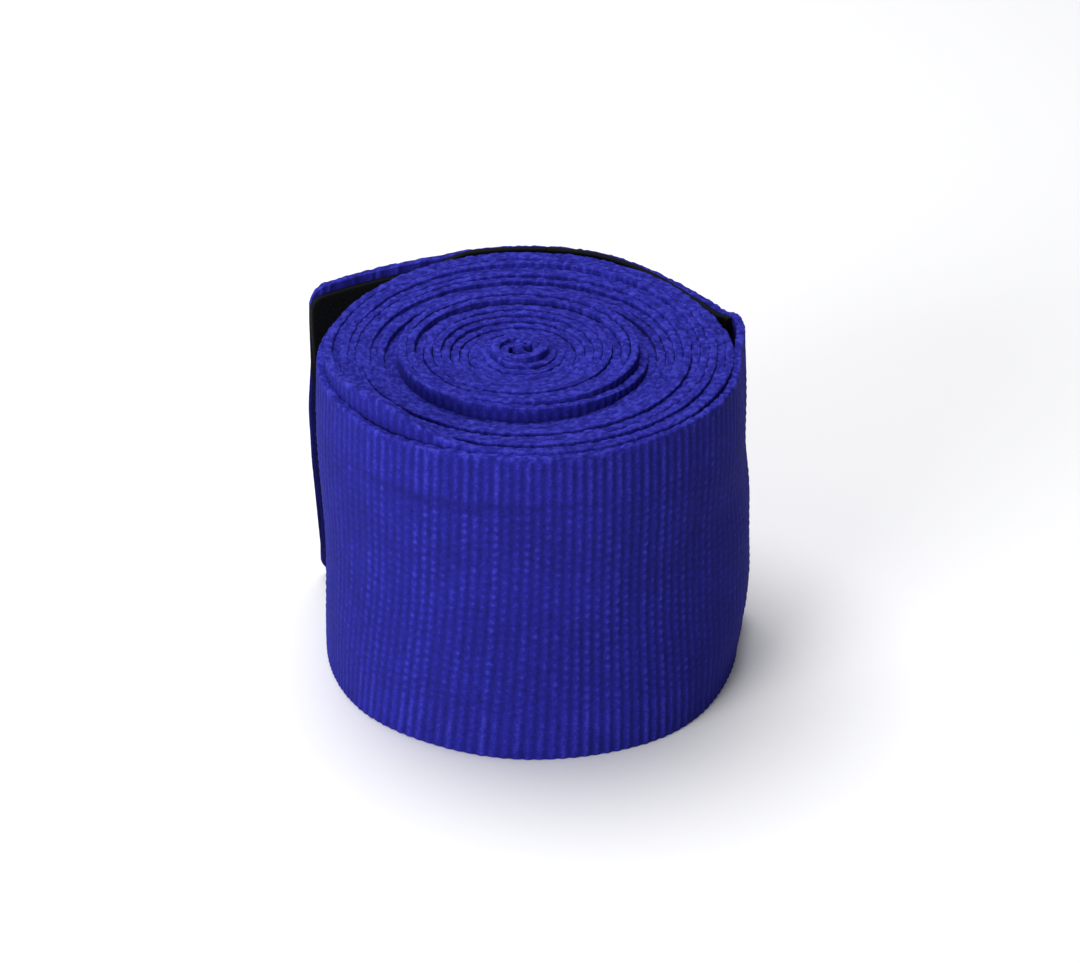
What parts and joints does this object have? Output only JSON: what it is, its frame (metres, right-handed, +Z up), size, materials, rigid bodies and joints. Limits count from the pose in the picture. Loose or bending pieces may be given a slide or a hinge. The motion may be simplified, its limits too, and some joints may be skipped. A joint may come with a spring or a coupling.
{
  "type": "boxing hand wrap",
  "caption": "Elastic woven hand wrap wound into an upright roll, its thumb loop at the core and its tail held by a hook tape that peels away.",
  "frame": {"origin": "centre of the bounding box's base, on the surface that the roll stands on", "axes": "+Z up along the roll's axis, +X towards the side where the tail leaves the roll, +Y towards the back, where the hook tape closes"},
  "size_m": [0.0618, 0.064, 0.0539],
  "materials": {
    "woven_band": "woven elastic of cotton and polyester, matt, with fine ribs across the band",
    "hook_tape": "woven nylon tape with moulded hooks",
    "loop_pile": "brushed nylon loop pile",
    "blue_thread": "twisted polyester sewing thread",
    "black_thread": "twisted polyester sewing thread"
  },
  "bodies": {
    "roll": {"wrap_band": "woven_band", "thumb_loop": "woven_band", "thumb_loop_bartack": "blue_thread", "loop_patch": "loop_pile", "loop_patch_stitching": "black_thread"},
    "tail_1": {"tail_band_1": "woven_band", "hook_tape_1": "hook_tape", "tape_stitching_1": "black_thread"},
    "tail_2": {"tail_band_2": "woven_band", "hook_tape_2": "hook_tape", "tape_stitching_2_upper": "black_thread", "tape_stitching_2_lower": "black_thread"},
    "tail_3": {"tail_band_3": "woven_band", "hook_tape_3": "hook_tape", "tape_stitching_3_upper": "black_thread", "tape_stitching_3_lower": "black_thread"},
    "tail_4": {"tail_band_4": "woven_band", "hook_tape_4": "hook_tape", "tape_stitching_4": "black_thread"}
  },
  "joints": [
    {"name": "tail_peel_1", "type": "hinge", "parent": "roll", "child": "tail_1", "pos_m": [0.03087, 0.00788, 0], "axis": [0, 0, -1], "range_deg": [0, 40]},
    {"name": "tail_peel_2", "type": "hinge", "parent": "tail_1", "child": "tail_2", "pos_m": [0.02103, 0.02431, 0], "axis": [0, 0, -1], "range_deg": [0, 40]},
    {"name": "tail_peel_3", "type": "hinge", "parent": "tail_2", "child": "tail_3", "pos_m": [0.00311, 0.03184, 0], "axis": [0, 0, -1], "range_deg": [0, 40]},
    {"name": "tail_peel_4", "type": "hinge", "parent": "tail_3", "child": "tail_4", "pos_m": [-0.01604, 0.02814, 0], "axis": [0, 0, -1], "range_deg": [0, 40]}
  ]
}
